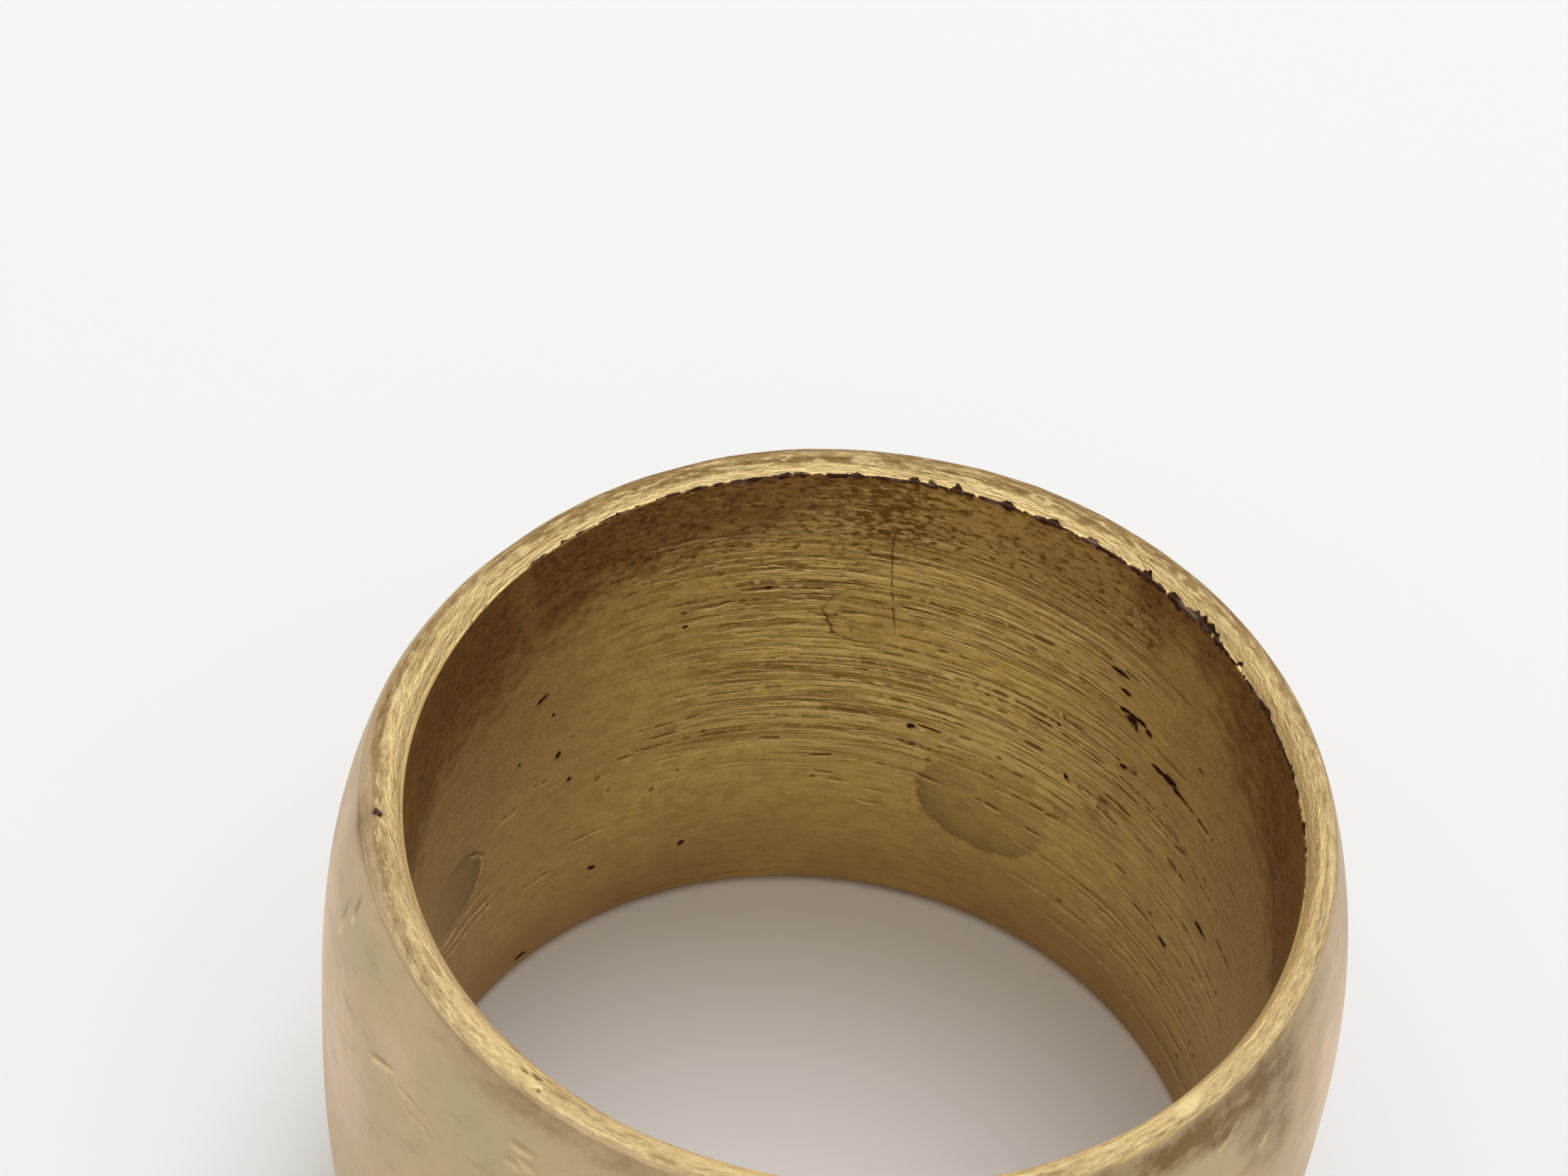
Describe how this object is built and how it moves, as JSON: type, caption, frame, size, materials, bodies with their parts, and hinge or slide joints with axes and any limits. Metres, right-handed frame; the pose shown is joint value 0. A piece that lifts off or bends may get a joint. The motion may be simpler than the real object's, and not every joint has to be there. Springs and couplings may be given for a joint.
{
  "type": "wide gold band ring",
  "caption": "Plain wide finger ring: a straight round bore, a gently barrelled outside and soft rounded edges, worn and tarnished.",
  "frame": {"origin": "on the ring's axis, in the plane that its lower edge rests on", "axes": "+Z along the ring's axis, up when the ring lies on its side edge; X and Y are alike"},
  "size_m": [0.0226, 0.0226, 0.0152],
  "materials": {
    "metal": "worn satin, scratched and tarnished inside, bright at the rims"
  },
  "bodies": {
    "root": {"band": "metal"}
  },
  "joints": []
}
